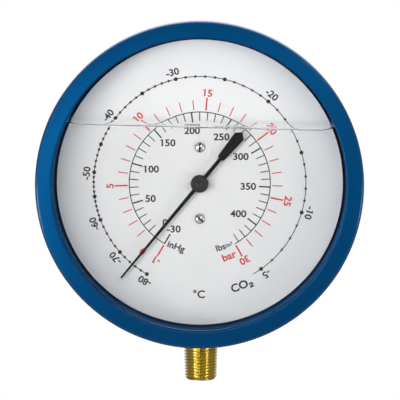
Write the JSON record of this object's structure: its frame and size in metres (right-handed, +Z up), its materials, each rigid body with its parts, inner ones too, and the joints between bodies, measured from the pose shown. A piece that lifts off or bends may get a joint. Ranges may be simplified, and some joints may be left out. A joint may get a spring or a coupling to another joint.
{
  "type": "refrigerant pressure gauge",
  "caption": "Round bottom-connected pressure gauge for refrigeration systems, with a liquid-filled blue case, a white multi-scale dial, a black pointer and a brass taper-threaded stem.",
  "frame": {"origin": "centre of the stem's end face, on the stem axis", "axes": "+Z up along the stem towards the dial centre, dial facing -Y, +X to the right when reading the dial"},
  "size_m": [0.1, 0.0497, 0.1146],
  "materials": {
    "blue_enamel": "semi-gloss blue enamel on pressed steel",
    "clear_glass": "clear, polished",
    "black_rubber": "matt moulded rubber",
    "white_enamel": "matt white enamel with printed scales",
    "black_enamel": "satin black enamel",
    "brass": "turned, bright",
    "bronze": "drawn, satin",
    "steel": "nickel plated"
  },
  "bodies": {
    "housing": {"case": "blue_enamel", "bezel_ring": "blue_enamel", "window": "clear_glass", "window_gasket": "black_rubber", "stem_gasket": "black_rubber", "fill_plug": "black_rubber", "dial": "white_enamel", "stem": "brass", "front_plate": "brass", "back_plate": "brass", "plate_pillars": "brass", "dial_posts": "brass", "hairspring_stud": "brass", "restrictor_screw": "brass", "bourdon_tube": "bronze", "hairspring": "bronze", "dial_screws": "steel", "plate_screws": "steel", "movement_screws": "steel", "stem_screws": "steel"},
    "pointer_assembly": {"pointer": "black_enamel", "pointer_hub": "black_enamel", "pinion_arbor": "steel", "hairspring_collet": "brass"},
    "sector_assembly": {"sector_gear": "brass", "sector_arbor": "steel", "tail_pin": "steel"},
    "link_bar": {"link": "brass"},
    "tube_tip_assembly": {"tube_tip": "brass", "tip_pin": "steel"}
  },
  "joints": [
    {"name": "sector_swing", "type": "hinge", "parent": "housing", "child": "sector_assembly", "pos_m": [0, -0.0101, 0.0481], "axis": [0, 1, 0], "range_deg": [-29.03, 0.97], "stiffness_Nm_per_rad": 0.1},
    {"name": "pointer_spin", "type": "hinge", "parent": "housing", "child": "pointer_assembly", "pos_m": [0, -0.0101, 0.0646], "axis": [0, 1, 0], "range_deg": [-9.68, 290.32], "deforming": ["hairspring"]},
    {"name": "tube_flex", "type": "hinge", "parent": "housing", "child": "tube_tip_assembly", "pos_m": [-0.00486, 0, 0.07261], "axis": [0, 1, 0], "range_deg": [-7.89, 0.26], "deforming": ["bourdon_tube"]},
    {"name": "link_swing", "type": "hinge", "parent": "sector_assembly", "child": "link_bar", "pos_m": [0.00369, -0.0112, 0.0417], "axis": [0, 1, 0], "range_deg": [-0.88, 26.27]}
  ],
  "couplings": [
    {"joint": "pointer_spin", "follows": "sector_swing", "ratio": -10},
    {"joint": "tube_flex", "follows": "sector_swing", "ratio": 0.2719},
    {"joint": "link_swing", "follows": "sector_swing", "ratio": -0.9047}
  ]
}
